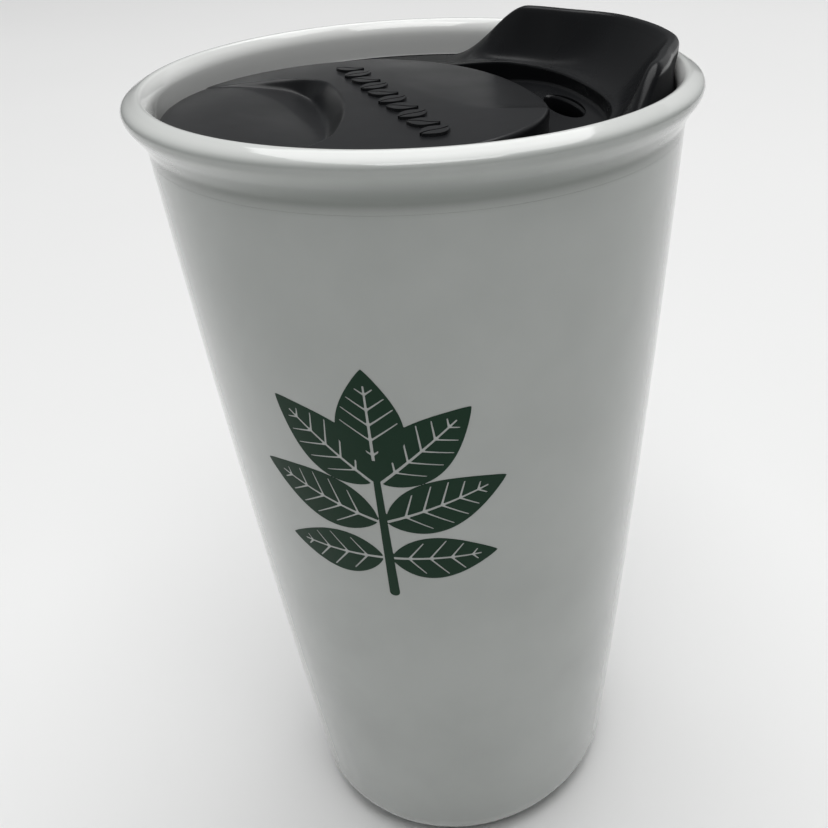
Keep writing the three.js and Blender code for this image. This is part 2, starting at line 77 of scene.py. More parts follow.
DECK_Z, LEDGE_Z, LID_R = 143.1, 144.0, 41.7
SPOUT_FULL, SPOUT_END = 42.0, 66.0
FLOOR_Z, FLOOR_T = 139.0, 2.2
RAMP_X, RAMP_RISE = 18.0, 2.6
TRACK_A, TRACK_W, TRACK_REAR, SQUARE = 29.9, 31.6, 28.3, 2.4
GROOVE_Z0, GROOVE_Z1, GROOVE_D, SKIRT_T = 127.7, 134.3, 1.4, 2.0
SIP_X, SIP_A, SIP_B = 25.6, 2.2, 7.5
VENT_X, VENT_R = 4.0, 1.1

SLIDER_A, SLIDER_W, SLIDER_REAR, FRONT_Z = 29.5, 31.2, 31.35, 144.3
LEG_X, LEG_Y, LEG_LX, LEG_LY = 2.0, 14.0, 4.0, 3.0

PRINT_AZ, PRINT_Z = -119.6, 94.9       # centre of the printed sprig


# ------------------------------------------------------------------ mesh tools
def wall_r(z):
    t = (TAPER_Z - z) / (TAPER_Z - BASE_ROUND)
    return TAPER_R + (FOOT_WALL_R - TAPER_R) * t + BELLY * 4 * t * (1 - t)


def rounded(pts, n=6, closed=False):
    """A polyline whose corners are [x, y, radius]; each corner with a radius becomes an arc."""
    out = []
    m = len(pts)
    for i, p in enumerate(pts):
        radius = p[2] if len(p) > 2 else 0
        if radius <= 0 or (not closed and i in (0, m - 1)):
            out.append((p[0], p[1]))
            continue
        c = np.array(p[:2], float)
        a = np.array(pts[i - 1][:2], float) - c
        b = np.array(pts[(i + 1) % m][:2], float) - c
        la, lb = np.linalg.norm(a), np.linalg.norm(b)
        a, b = a / la, b / lb
        ang = math.acos(max(-1.0, min(1.0, float(a @ b))))
        if ang > math.pi - 1e-3:
            out.append((p[0], p[1]))
            continue
        t = min(radius / math.tan(ang / 2), 0.46 * la, 0.46 * lb)
        r = t * math.tan(ang / 2)
        centre = c + (a + b) / np.linalg.norm(a + b) * (r / math.sin(ang / 2))
        s, e = c + a * t - centre, c + b * t - centre
        a0 = math.atan2(s[1], s[0])
        sweep = (math.atan2(e[1], e[0]) - a0 + math.pi) % (2 * math.pi) - math.pi
        for k in range(n + 1):
            w = a0 + sweep * k / n
            out.append((centre[0] + r * math.cos(w), centre[1] + r * math.sin(w)))
    return out


def densify(pts, step, closed=False):
    out = []
    m = len(pts)
    for i in range(m if closed else m - 1):
        a, b = np.array(pts[i]), np.array(pts[(i + 1) % m])
        d = float(np.linalg.norm(b - a))
        k = max(1, int(math.ceil(d / step)))
        for j in range(k):
            out.append(tuple(a + (b - a) * j / k))
    if not closed:
        out.append(tuple(pts[-1]))
    return out


def shade(me, angle=None):
    me.polygons.foreach_set("use_smooth", [True] * len(me.polygons))
    if angle is not None:
        me.set_sharp_from_angle(angle=math.radians(angle))


def new_object(name, verts_mm, faces, angle=None, weld=1e-6):
    me = bpy.data.meshes.new(name)
    me.from_pydata([tuple(float(c) * MM for c in v) for v in verts_mm], [], faces)
    bm = bmesh.new()
    bm.from_mesh(me)
    bmesh.ops.remove_doubles(bm, verts=bm.verts, dist=weld)
    bmesh.ops.dissolve_degenerate(bm, dist=1e-7, edges=bm.edges)
    bmesh.ops.recalc_face_normals(bm, faces=bm.faces)
    if bm.calc_volume(signed=True) < 0:
        bmesh.ops.reverse_faces(bm, faces=bm.faces)
    bm.to_mesh(me)
    bm.free()
    shade(me, angle)
    ob = bpy.data.objects.new(name, me)
    scene.collection.objects.link(ob)
    return ob


def from_rows(name, rows, cap0=None, cap1=None, ring=False, angle=None):
    """Closed rows of points, one after another. cap0 and cap1 are the poles; ring joins the last row to the first."""
    n = len(rows[0])
    verts = [p for r in rows for p in r]
    faces = []
    m = len(rows)
    for j in range(m if ring else m - 1):
        a, b = j * n, ((j + 1) % m) * n
        for i in range(n):
            k = (i + 1) % n
            faces.append((a + i, a + k, b + k, b + i))
    for cap, base in ((cap0, 0), (cap1, (m - 1) * n)):
        if cap is not None:
            verts.append(cap)
            c = len(verts) - 1
            faces += [(base + i, base + (i + 1) % n, c) for i in range(n)]
    return new_object(name, verts, faces, angle)


def lathe(name, profile, seg=256, step=4.0, ring=False, angle=None):
    """A profile of (radius, height) turned about Z. Ends on the axis become poles."""
    pts = densify(profile, step, closed=ring)
    cap0 = cap1 = None
    if not ring:
        if abs(pts[0][0]) < 1e-9:
            cap0 = (0, 0, pts[0][1])
            pts = pts[1:]
        if abs(pts[-1][0]) < 1e-9:
            cap1 = (0, 0, pts[-1][1])
            pts = pts[:-1]
    th = [2 * math.pi * i / seg for i in range(seg)]
    rows = [[(r * math.cos(t), r * math.sin(t), z) for t in th] for r, z in pts]
    return from_rows(name, rows, cap0, cap1, ring, angle)


def join(target, *others):
    bm = bmesh.new()
    bm.from_mesh(target.data)
    for o in others:
        bm.from_mesh(o.data)
        bpy.data.objects.remove(o)
    bm.to_mesh(target.data)
    bm.free()
    return target


def cut(target, cutter):
    mod = target.modifiers.new("cut", "BOOLEAN")
    mod.operation = "DIFFERENCE"
    mod.solver = "EXACT"
    mod.object = cutter
    bpy.context.view_layer.update()
    dep = bpy.context.evaluated_depsgraph_get()
    me = bpy.data.meshes.new_from_object(target.evaluated_get(dep))
    target.modifiers.clear()
    old = target.data
    target.data = me
    me.name = target.name
    bpy.data.meshes.remove(old)
    bpy.data.objects.remove(cutter)


def box_mesh(name, x0, x1, y0, y1, z0, z1, bevel=0.3):
    bm = bmesh.new()
    bmesh.ops.create_cube(bm, size=1)
    for v in bm.verts:
        v.co = Vector(((x0 if v.co.x < 0 else x1) * MM, (y0 if v.co.y < 0 else y1) * MM, (z0 if v.co.z < 0 else z1) * MM))
    if bevel:
        bmesh.ops.bevel(bm, geom=bm.edges[:], offset=bevel * MM, segments=3, profile=0.5, affect="EDGES")
    me = bpy.data.meshes.new(name)
    bm.to_mesh(me)
    bm.free()
    shade(me, 35)
    ob = bpy.data.objects.new(name, me)
    scene.collection.objects.link(ob)
    return ob


def smin(a, b, k):
    h = np.clip(0.5 + 0.5 * (b - a) / k, 0, 1)
    return b * (1 - h) + a * h - k * h * (1 - h)


def smax(a, b, k):
    return -smin(-a, -b, k)


def smooth(t):
    t = np.clip(t, 0, 1)
    return t * t * (3 - 2 * t)


# ------------------------------------------------------------------ materials
class Nodes:
    def __init__(self, name):
        self.mat = bpy.data.materials.new(name)
        self.mat.use_nodes = True
        self.t = self.mat.node_tree
        self.bsdf = next(n for n in self.t.nodes if n.type == "BSDF_PRINCIPLED")
        self.coord = self.t.nodes.new("ShaderNodeTexCoord").outputs["Object"]

    def add(self, kind, **inputs):
        n = self.t.nodes.new(kind)
        for k, v in inputs.items():
            key = k.replace("_", " ")
            if hasattr(n, k) and k not in n.inputs and key not in n.inputs:
                setattr(n, k, v)
            else:
                self.put(n, key if key in n.inputs else k, v)
        return n

    def put(self, n, key, v):
        if isinstance(v, bpy.types.NodeSocket):
            self.t.links.new(v, n.inputs[key])
        else:
            n.inputs[key].default_value = v

    def set(self, **inputs):
        for k, v in inputs.items():
            self.put(self.bsdf, k.replace("_", " "), v)

    def noise(self, scale, detail=3.0, rough=0.5, vector=None, distortion=0.0):
        n = self.t.nodes.new("ShaderNodeTexNoise")
        self.t.links.new(vector or self.coord, n.inputs["Vector"])
        n.inputs["Scale"].default_value = scale
        n.inputs["Detail"].default_value = detail
        n.inputs["Roughness"].default_value = rough
        n.inputs["Distortion"].default_value = distortion
        return n.outputs["Fac"]

    def stretch(self, sx, sy, sz):
        n = self.t.nodes.new("ShaderNodeMapping")
        self.t.links.new(self.coord, n.inputs["Vector"])
        n.inputs["Scale"].default_value = (sx, sy, sz)
        return n.outputs["Vector"]

    def range(self, v, a, b, c, d, smooth_it=True):
        n = self.t.nodes.new("ShaderNodeMapRange")
        n.interpolation_type = "SMOOTHSTEP" if smooth_it else "LINEAR"
        self.t.links.new(v, n.inputs["Value"])
        for key, val in (("From Min", a), ("From Max", b), ("To Min", c), ("To Max", d)):
            n.inputs[key].default_value = val
        return n.outputs["Result"]

    def math(self, op, a, b=None):
        n = self.t.nodes.new("ShaderNodeMath")
        n.operation = op
        for i, v in enumerate((a, b)):
            if v is None:
                continue
            if isinstance(v, bpy.types.NodeSocket):
                self.t.links.new(v, n.inputs[i])
            else:
                n.inputs[i].default_value = v
        return n.outputs[0]

    def mix(self, fac, a, b):
        n = self.t.nodes.new("ShaderNodeMix")
        n.data_type = "RGBA"
        for key, v in ((0, fac), (6, a), (7, b)):
            if isinstance(v, bpy.types.NodeSocket):
                self.t.links.new(v, n.inputs[key])
            else:
                n.inputs[key].default_value = v if key == 0 else (*v, 1)
        return n.outputs[2]

    def bump(self, height, distance, strength=1.0, normal=None):
        n = self.t.nodes.new("ShaderNodeBump")
        n.inputs["Strength"].default_value = strength
        n.inputs["Distance"].default_value = distance
        self.t.links.new(height, n.inputs["Height"])
        if normal is not None:
            self.t.links.new(normal, n.inputs["Normal"])
        return n.outputs["Normal"]

    def split(self):
        n = self.t.nodes.new("ShaderNodeSeparateXYZ")
        self.t.links.new(self.coord, n.inputs[0])
        return n.outputs

    def pointiness(self):
        return self.t.nodes.new("ShaderNodeNewGeometry").outputs["Pointiness"]


def glaze_material():
    m = Nodes("glaze")
    z = m.split()[2]
    tone = m.noise(38, 3, 0.55)
    body = m.mix(m.range(tone, 0.3, 0.7, 0, 1), (0.395, 0.415, 0.398), (0.435, 0.455, 0.438))
    # the glaze is painted whiter over the rim's crest (partly thinner glaze, partly painted light on the top) and in
    # the mouth (painted light on the rim's inner wall); under the rim it is painted darker and a little greener
    # (painted shade under the bead, with some glaze pooling)
    x, y, _ = m.split()
    out = m.math("SQRT", m.math("ADD", m.math("MULTIPLY", x, x), m.math("MULTIPLY", y, y)))
    crest_glaze_and_light = m.range(z, 0.1480, 0.1496, 0, 0.6)
    mouth_painted_light = m.math("MULTIPLY", m.range(out, 0.0434, 0.0442, 1, 0), m.range(z, 0.1405, 0.1430, 0, 1))
    col = m.mix(m.math("MAXIMUM", crest_glaze_and_light, mouth_painted_light), body, (0.90, 0.91, 0.89))
    # painted shade: a darker, greener band under the bead where the rim shades the wall, with some glaze pooling
    pooling_and_shade = m.math("MULTIPLY", m.range(z, 0.1402, 0.1427, 0, 0.88), m.range(z, 0.1430, 0.1478, 1, 0))
    pooling_and_shade = m.math("MULTIPLY", pooling_and_shade, m.range(out, 0.0427, 0.0433, 0, 1))
    col = m.mix(pooling_and_shade, col, (0.17, 0.19, 0.172))
    # sparse iron specks
    vor = m.t.nodes.new("ShaderNodeTexVoronoi")
    m.t.links.new(m.coord, vor.inputs["Vector"])
    vor.inputs["Scale"].default_value = 85
    pick = m.t.nodes.new("ShaderNodeSeparateColor")
    m.t.links.new(vor.outputs["Color"], pick.inputs[0])
    speck = m.math("MULTIPLY", m.range(vor.outputs["Distance"], 0.012, 0.030, 1, 0), m.math("GREATER_THAN", pick.outputs[0], 0.93))
    col = m.mix(m.math("MULTIPLY", speck, 0.75), col, (0.10, 0.085, 0.06))
    fine = m.noise(420, 2, 0.5)
    swell = m.noise(34, 2, 0.5)
    n1 = m.bump(swell, 0.00028, 0.55)
    n2 = m.bump(fine, 0.00002, 0.35, n1)
    pin = m.bump(speck, 0.00006, 0.5, n2)
    m.set(Base_Color=col, Roughness=m.range(m.noise(260, 4, 0.6), 0.3, 0.75, 0.09, 0.17), Normal=pin)
    m.set(**{"Coat_Weight": 0.5, "Coat_Roughness": 0.05, "IOR": 1.5})
    return m.mat


def bisque_material():
    m = Nodes("bisque_foot")
    grain = m.noise(1500, 5, 0.7)
    col = m.mix(grain, (0.46, 0.43, 0.38), (0.60, 0.57, 0.52))
    m.set(Base_Color=col, Roughness=0.85, Normal=m.bump(grain, 0.00012, 0.7))
    return m.mat


def plastic_material(name, dark, light, rough, grain_scale, grain, shine=0.5, wear_and_glint=0.25, satin_face=False):
    m = Nodes(name)
    texture = m.noise(grain_scale, 2, 0.5)
    cloud = m.noise(48, 3, 0.5)
    smear = m.noise(70, 3, 0.5)
    edge = m.range(m.pointiness(), 0.505, 0.56, 0, 1)
    col = m.mix(cloud, dark, light)
    # convex edges painted lighter: partly rubbed wear, partly a painted highlight along the edges
    col = m.mix(m.math("MULTIPLY", edge, wear_and_glint), col, tuple(min(1, c * 2.2 + 0.004) for c in light))
    dust = m.range(m.noise(3100, 1, 0.4), 0.83, 0.86, 0, 0.3)
    col = m.mix(dust, col, (0.14, 0.14, 0.14))
    r = m.range(smear, 0.3, 0.7, rough - 0.03, rough + 0.04)
    r = m.math("SUBTRACT", r, m.math("MULTIPLY", edge, 0.24 * wear_and_glint))
    if satin_face:
        # the outer face beside the rim is more matt than the rest
        x, y, z = m.split()
        out = m.math("SQRT", m.math("ADD", m.math("MULTIPLY", x, x), m.math("MULTIPLY", y, y)))
        face = m.math("MULTIPLY", m.range(out, 0.0404, 0.0409, 0, 1), m.range(z, 0.1515, 0.1525, 1, 0))
        r = m.math("MAXIMUM", r, m.math("MULTIPLY", face, 0.62))
        shine = m.math("SUBTRACT", shine, m.math("MULTIPLY", face, shine * 0.8))
    n1 = m.bump(texture, 0.00002, grain)
    n2 = m.bump(m.noise(24, 2, 0.5), 0.00012, 0.2, n1)
    m.set(Base_Color=col, Roughness=r, Normal=n2, IOR=1.49)
    m.set(**{"Specular_IOR_Level": shine})
    return m.mat


def silicone_material(name, a, b):
    m = Nodes(name)
    cloud = m.noise(90, 4, 0.6)
    film = m.noise(900, 3, 0.6)
    col = m.mix(cloud, a, b)
    m.set(Base_Color=col, Roughness=m.range(film, 0.3, 0.7, 0.5, 0.7), Normal=m.bump(film, 0.00003, 0.5))
    m.set(**{"Sheen_Weight": 0.15, "Sheen_Roughness": 0.5, "IOR": 1.41})
    return m.mat


def print_material():
    m = Nodes("print_green")
    ink = m.noise(1100, 4, 0.65)
    wide = m.noise(70, 2, 0.5)
    col = m.mix(wide, (0.0050, 0.026, 0.0125), (0.0085, 0.037, 0.0185))
    col = m.mix(m.range(ink, 0.62, 0.78, 0, 0.3), col, (0.018, 0.058, 0.034))
    m.set(Base_Color=col, Roughness=m.range(ink, 0.3, 0.7, 0.28, 0.40), Normal=m.bump(ink, 0.000012, 0.5))
    m.set(**{"Specular_IOR_Level": 0.12})
    return m.mat


GLAZE = glaze_material()
BISQUE = bisque_material()
LID_BLACK = plastic_material("lid_black", (0.0055, 0.0060, 0.0068), (0.0080, 0.0085, 0.0095), 0.27, 5200, 0.2, 0.20, 0.12, True)
SLIDER_BLACK = plastic_material("slider_black", (0.0082, 0.0087, 0.0098), (0.0110, 0.0116, 0.0128), 0.31, 6500, 0.3, 0.34, 0.0)
CLIP_BLACK = plastic_material("clip_black", (0.014, 0.014, 0.014), (0.02, 0.02, 0.02), 0.5, 5000, 0.4)
SILICONE_DARK = silicone_material("silicone_dark", (0.026, 0.027, 0.030), (0.042, 0.043, 0.047))
SILICONE_LIGHT = silicone_material("silicone_light", (0.46, 0.48, 0.47), (0.56, 0.58, 0.57))
PRINT = print_material()


def finish(ob, body, slot, *materials, stands_for=()):
    for m in materials:
        ob.data.materials.append(m)
    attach(ob, body)
    if stands_for:
        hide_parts(*stands_for)
    return ob


# ------------------------------------------------------------------ mug
shell_top = NECK_Z - 0.02
wall = [(wall_r(z), z) for z in np.linspace(BASE_ROUND, shell_top, 46)]
base_arc = [(FOOT_OUT_R + BASE_ROUND * math.sin(a), BASE_ROUND - BASE_ROUND * math.cos(a)) for a in np.linspace(0, math.pi / 2, 20)]
under = rounded([
    (PLUG_R, FOOT_RECESS + 0.9), (PLUG_R, FOOT_RECESS, 0.5), (FOOT_IN_R - 1.2, FOOT_RECESS, 1.0), (FOOT_IN_R, 0, 0.5),
    (FOOT_OUT_R - 2.0, 0),
])
top_in = rounded([
    (wall_r(shell_top), shell_top), (wall_r(shell_top) - SHELL_T_TOP, shell_top, 0.3), (wall_r(131) - SHELL_T_TOP, 131),
    (wall_r(SPIGOT_Z) - SHELL_T_TOP, SPIGOT_Z, 3), (wall_r(112) - SHELL_T, 112, 3), (wall_r(80) - SHELL_T, 80),
    (wall_r(46) - SHELL_T, 46), (wall_r(18) - SHELL_T, 18, 6), (28.6, 8.8, 6), (22.6, FOOT_RECESS + FOOT_T, 4),
    (PLUG_R, FOOT_RECESS + FOOT_T, 0.4), (PLUG_R, FOOT_RECESS + 0.9),
])[1:]
shell = lathe("outer_shell", under + base_arc + wall[1:] + top_in, ring=True, step=3.5, angle=40)
shell.data.materials.append(GLAZE)
shell.data.materials.append(BISQUE)
for p in shell.data.polygons:
    c = p.center / MM
    if c.z < 0.42 and FOOT_IN_R - 0.6 < math.hypot(c.x, c.y) < FOOT_OUT_R + 2.6:
        p.material_index = 1
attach(shell, "mug")
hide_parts("outer_shell")

LINE_OUT = SHELL_T + AIR_GAP
LINE_IN = LINE_OUT + LINER_T


def spline(pts, n=5):
    """A smooth curve through points, with n steps between neighbours."""
    p = [np.array(q, float) for q in pts]
    p = [2 * p[0] - p[1]] + p + [2 * p[-1] - p[-2]]
    out = []
    for i in range(1, len(p) - 2):
        a, b, c, d = p[i - 1:i + 3]
        for k in range(n):
            t = k / n
            out.append(tuple(0.5 * (2 * b + (c - a) * t + (2 * a - 5 * b + 4 * c - d) * t * t + (3 * b - a - 3 * c + d) * t ** 3)))
    out.append(tuple(p[-2]))
    return out


bead = spline([
    (wall_r(NECK_Z), NECK_Z), (wall_r(142), 142), (43.88, 142.8), (44.12, 143.4), (44.5, 144.1), (45.02, 145), (45.72, 146), (46.35, 147),
    (46.56, 147.75), (46.56, 148.25), (46.3, 148.75), (45.8, 149.15), (45.15, 149.52), (44.55, 149.82), (44.0, 149.97),
    (43.5, 149.8), (43.05, 149.36), (42.62, 148.82), (42.28, 148.2), (42.08, 147.55), (MOUTH_R, 146.8),
])
outside = rounded([
    (0, CAVITY_FLOOR - 2.6), (19.5, CAVITY_FLOOR - 2.6, 6), (25.8, CAVITY_FLOOR + 3.0, 5), (wall_r(22) - LINE_OUT, 22),
    (wall_r(48) - LINE_OUT, 48), (wall_r(80) - LINE_OUT, 80), (wall_r(106) - LINE_OUT, 106, 5),
    (wall_r(SPIGOT_Z) - SHELL_T_TOP - 0.3, SPIGOT_Z - 1, 2), (wall_r(131) - SHELL_T_TOP - 0.3, 131),
    (wall_r(140.7) - SHELL_T_TOP - 0.3, NECK_Z, 0.2), bead[0],
])
inside = rounded([
    bead[-1], (MOUTH_R, DECK_Z, 0.5), (SEAT_TOP_R, SEAT_TOP_Z, 0.8), (SEAT_BOT_R, SEAT_BOT_Z, 2),
    (SEAT_BOT_R - 0.7, 121.7, 4), (wall_r(112) - LINE_IN, 112, 8), (wall_r(104) - LINE_IN, 104),
    (wall_r(76) - LINE_IN, 76), (wall_r(48) - LINE_IN, 48), (wall_r(24) - LINE_IN, 24, 3),
    (23.4, CAVITY_FLOOR, 8), (0, CAVITY_FLOOR),
], n=8)
liner = lathe("inner_liner", outside[:-1] + bead[:-1] + inside, step=3.5, angle=40)
finish(liner, "mug", "glaze", GLAZE, stands_for=["inner_liner"])

plug = lathe("foot_plug", rounded([
    (0, 0.6), (4.0, 0.6, 0.6), (5.0, 0.95, 0.3), (5.0, FOOT_RECESS - 0.1, 0.1), (PLUG_R - 0.1, FOOT_RECESS - 0.1, 0.1),
    (PLUG_R - 0.1, FOOT_RECESS + FOOT_T + 0.2, 0.1), (PLUG_R + 0.9, FOOT_RECESS + FOOT_T + 0.3, 0.2),
    (PLUG_R + 0.2, FOOT_RECESS + FOOT_T + 1.3, 0.4), (0, FOOT_RECESS + FOOT_T + 1.6),
]), seg=96, step=1.0)
finish(plug, "mug", "silicone_light", SILICONE_LIGHT, stands_for=["foot_plug"])


# ------------------------------------------------------------------ printed sprig, a thin raised film on the wall
def contour_solid(name, field, x0, x1, y0, y1, cell, place, top, bottom):
    """A closed film over the places where field(x, y) > 0. place(x, y, height) gives the point in mm."""
    nx, ny = int(round((x1 - x0) / cell)), int(round((y1 - y0) / cell))
    gx, gy = np.linspace(x0, x1, nx + 1), np.linspace(y0, y1, ny + 1)
    X, Y = np.meshgrid(gx, gy, indexing="ij")
    F = field(X, Y)
    F = np.where(np.abs(F) < 1e-4 * cell, 1e-4 * cell, F)
    pts, index = [], {}

    def vertex(key, x, y):
        if key not in index:
            index[key] = len(pts)
            pts.append((x, y))
        return index[key]

    faces, rim = [], []
    for i in range(nx):
        for j in range(ny):
            ring = [(i, j), (i + 1, j), (i + 1, j + 1), (i, j + 1)]
            vals = [F[a] for a in ring]
            if max(vals) <= 0:
                continue
            poly = []
            for k in range(4):
                a, b = ring[k], ring[(k + 1) % 4]
                fa, fb = F[a], F[b]
                if fa > 0:
                    poly.append((vertex(a, gx[a[0]], gy[a[1]]), False))
                if (fa > 0) != (fb > 0):
                    t = fa / (fa - fb)
                    t = min(max(t, 0.02), 0.98)
                    key = (min(a, b), max(a, b))
                    if a > b:
                        t = 1 - t
                        a, b = b, a
                    x = gx[a[0]] + (gx[b[0]] - gx[a[0]]) * t
                    y = gy[a[1]] + (gy[b[1]] - gy[a[1]]) * t
                    poly.append((vertex(key, x, y), True))
            inside_count = sum(v > 0 for v in vals)
            loops = [poly]
            if inside_count == 2 and len(poly) == 6:     # two opposite corners: two separate triangles
                cuts = [k for k in range(6) if not poly[k][1]]
                loops = [[poly[k - 1], poly[k], poly[(k + 1) % 6]] for k in cuts]
            for loop in loops:
                ids = [v for v, _ in loop]
                faces.append(ids)
                for k in range(len(loop)):
                    p, q = loop[k], loop[(k + 1) % len(loop)]
                    if p[1] and q[1]:
                        rim.append((p[0], q[0]))
    n = len(pts)
    verts = [place(x, y, top) for x, y in pts] + [place(x, y, bottom) for x, y in pts]
    out = [tuple(f) for f in faces] + [tuple(v + n for v in reversed(f)) for f in faces]
    out += [(q, p, p + n, q + n) for p, q in rim]
    me = bpy.data.meshes.new(name)
    me.from_pydata([tuple(float(c) * MM for c in v) for v in verts], [], out)
    me.validate()
    bm = bmesh.new()
    bm.from_mesh(me)
    bmesh.ops.recalc_face_normals(bm, faces=bm.faces)
    if bm.calc_volume(signed=True) < 0:
        bmesh.ops.reverse_faces(bm, faces=bm.faces)
    bm.to_mesh(me)
    bm.free()
    shade(me, 40)
    ob = bpy.data.objects.new(name, me)
    scene.collection.objects.link(ob)
    return ob


def segment(X, Y, ax, ay, bx, by, ra, rb=None):
    """Inside distance of a round-ended stroke from a to b, whose half width goes from ra to rb."""
    rb = ra if rb is None else rb
    dx, dy = bx - ax, by - ay
    t = np.clip(((X - ax) * dx + (Y - ay) * dy) / (dx * dx + dy * dy), 0, 1)
    return ra + (rb - ra) * t - np.hypot(X - ax - dx * t, Y - ay - dy * t)


def leaf(X, Y, x, y, deg, length, width, veins=4, rib=0.34, vein=0.22):
    """A pointed leaf from its stalk at (x, y), with its midrib and side veins left open."""
    a = math.radians(deg)
    u = (X - x) * math.cos(a) + (Y - y) * math.sin(a)
    v = -(X - x) * math.sin(a) + (Y - y) * math.cos(a)
    t = np.clip(u / length, 0, 1)
    half = width / 2 * (np.sin(np.pi * t ** 0.80) ** 0.85) * (1 - 0.10 * t)
    edge = np.minimum(np.minimum(half - np.abs(v), u), length - u) * 0.9
    out = edge
    out = np.minimum(out, -segment(u, v, -1, 0, length * 0.84, 0, rib, rib * 0.55))
    for k in range(veins):
        s = length * (0.16 + 0.60 * k / max(veins - 1, 1))
        reach = width / 2 * 0.80 * math.sin(math.pi * min(0.95, (s / length + 0.12)) ** 0.8)
        for side in (1, -1):
            out = np.minimum(out, -segment(u, v, s, 0, s + reach * 0.78, side * reach, vein, vein * 0.6))
    return out


def sprig(X, Y):
    f = segment(X, Y, 0.3, -22.4, 0.0, 5.0, 0.85, 0.5)
    parts = [(0, 3.6, 90, 18.6, 11.0, 5)]
    for side in (1, -1):
        mirror = lambda d: d if side > 0 else 180 - d
        parts += [
            (side * 0.7, 1.2, mirror(43), 20.0, 10.6, 5),
            (side * 0.7, -6.8, mirror(21), 20.6, 10.4, 5),
            (side * 0.7, -14.6, mirror(0), 17.0, 9.2, 4),
        ]
    for x, y, d, length, width, veins in parts:
        f = np.maximum(f, leaf(X, Y, x, y, d, length, width, veins, 0.28, 0.17))
    return f


SLOPE_LO, SLOPE_HI = 72.0, 118.0
CONE = math.atan((wall_r(SLOPE_HI) - wall_r(SLOPE_LO)) / (SLOPE_HI - SLOPE_LO))
APEX_Z = PRINT_Z - wall_r(PRINT_Z) / math.tan(CONE)


def on_wall(x, y, h):
    """A flat design point laid on the mug's cone without stretching it."""
    s0 = (PRINT_Z - APEX_Z) / math.cos(CONE)
    s = math.hypot(x, s0 + y)
    turn = math.atan2(x, s0 + y) / math.sin(CONE)
    z = APEX_Z + s * math.cos(CONE)
    az = math.radians(PRINT_AZ) + turn
    r = wall_r(z) + h
    return (r * math.cos(az), r * math.sin(az), z - h * math.sin(CONE))


mark = contour_solid("wall_print", sprig, -23.4, 23.4, -23.6, 23.4, 0.18, on_wall, 0.04, -0.06)
finish(mark, "mug", "print_green", PRINT)


# ------------------------------------------------------------------ lid body
def seat_r(z):
    return SEAT_BOT_R + (SEAT_TOP_R - SEAT_BOT_R) * (z - SEAT_BOT_Z) / (SEAT_TOP_Z - SEAT_BOT_Z)


def skirt_r(z):
    return seat_r(z) - 0.9


FACE_MIDDLE = ([139.5, 147.5, 148.3, 149, 150, 151, 152, 155], [41.65, 41.65, 41.9, 42.3, 42.9, 43.3, 43.5, 43.6])
FACE_END = ([139.5, 146, 148, 150, 152, 155], [41.65, 41.65, 41.5, 41.3, 41.2, 41.1])


def face_r(z, k):
    return np.interp(z, *FACE_MIDDLE) * (1 - k) + np.interp(z, *FACE_END) * k


def ramp_z(x):
    k = RAMP_RISE / (TRACK_W - RAMP_X)
    u = x - RAMP_X
    return FLOOR_Z + k * 0.5 * (u + np.sqrt(u * u + 0.6))


def front_reach(cs, sn, a, w):
    """Distance from the centre to a rounded front, squarer than an ellipse."""
    return ((np.maximum(cs, 0) / a) ** SQUARE + (np.abs(sn) / w) ** SQUARE) ** (-1 / SQUARE)


def track_reach(cs, sn):
    """The track's outline from the lid's axis: rounded front, straight sides, elliptical rear about the slider's rest centre."""
    side = TRACK_W / np.maximum(np.abs(sn), 1e-6)
    qa = cs * cs / TRACK_REAR ** 2 + sn * sn / TRACK_W ** 2
    qb = 2 * TRAVEL * cs / TRACK_REAR ** 2
    qc = TRAVEL ** 2 / TRACK_REAR ** 2 - 1
    ell = (-qb + np.sqrt(np.maximum(qb * qb - 4 * qa * qc, 0))) / (2 * qa)
    back = np.where(side * cs > -TRAVEL, side, ell)
    return np.where(cs > 0, front_reach(cs, sn, TRACK_A, TRACK_W), back)


